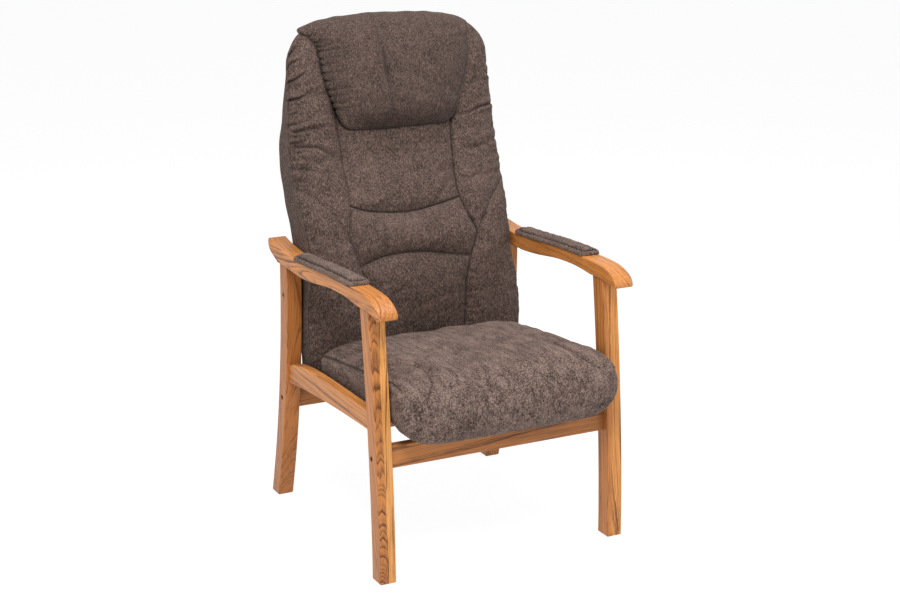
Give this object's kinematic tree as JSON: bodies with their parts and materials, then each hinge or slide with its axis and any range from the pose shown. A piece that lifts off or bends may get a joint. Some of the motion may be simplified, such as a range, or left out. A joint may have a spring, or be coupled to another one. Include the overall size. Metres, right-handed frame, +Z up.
{
  "type": "fireside chair",
  "caption": "Fireside chair with a bolted oak frame, curved armrests with padded covers, a sprung drooping seat and a tall channelled back with a head pillow",
  "frame": {"origin": "On the floor, under the middle of the chair's overall bounding box", "axes": "+X to the right seen from the front, -Y towards the sitter's feet, +Z up"},
  "size_m": [0.655, 0.7456, 1.204],
  "materials": {
    "oak": "oiled oak, satin",
    "beech": "plain beech",
    "plywood": "raw plywood",
    "velour": "brushed taupe velour",
    "foam": "open cell foam",
    "black_cloth": "woven black cloth",
    "steel": "zinc plated",
    "spring_steel": "oiled spring steel",
    "glide": "black plastic"
  },
  "bodies": {
    "root": {"front_leg_left": "oak", "front_leg_right": "oak", "rear_leg_left": "oak", "rear_leg_right": "oak", "armrest_left": "oak", "armrest_right": "oak", "side_rail_left": "oak", "side_rail_right": "oak", "front_rail": "oak", "rear_rail": "oak", "seat_cleat_left": "beech", "seat_cleat_right": "beech", "floor_glides": "glide", "arm_dowels": "beech", "side_rail_dowels": "beech", "rail_bolts": "steel", "barrel_nuts": "steel", "back_bolts": "steel", "back_inserts": "steel", "seat_frame_left": "plywood", "seat_frame_right": "plywood", "seat_frame_front": "plywood", "seat_frame_rear": "plywood", "seat_springs": "spring_steel", "spring_clips": "spring_steel", "seat_foam": "foam", "seat_cover": "velour", "seat_dust_cloth": "black_cloth", "seat_screws": "steel", "cleat_screws": "steel", "back_side_left": "plywood", "back_side_right": "plywood", "back_top_rail": "plywood", "back_middle_rail": "plywood", "back_bottom_rail": "plywood", "back_webbing": "black_cloth", "back_foam": "foam", "back_cover": "velour", "back_rear_cover": "velour", "head_pillow": "velour", "arm_pad_left": "velour", "arm_pad_right": "velour", "arm_pad_board_left": "plywood", "arm_pad_board_right": "plywood", "arm_pad_screws": "steel"}
  },
  "joints": []
}
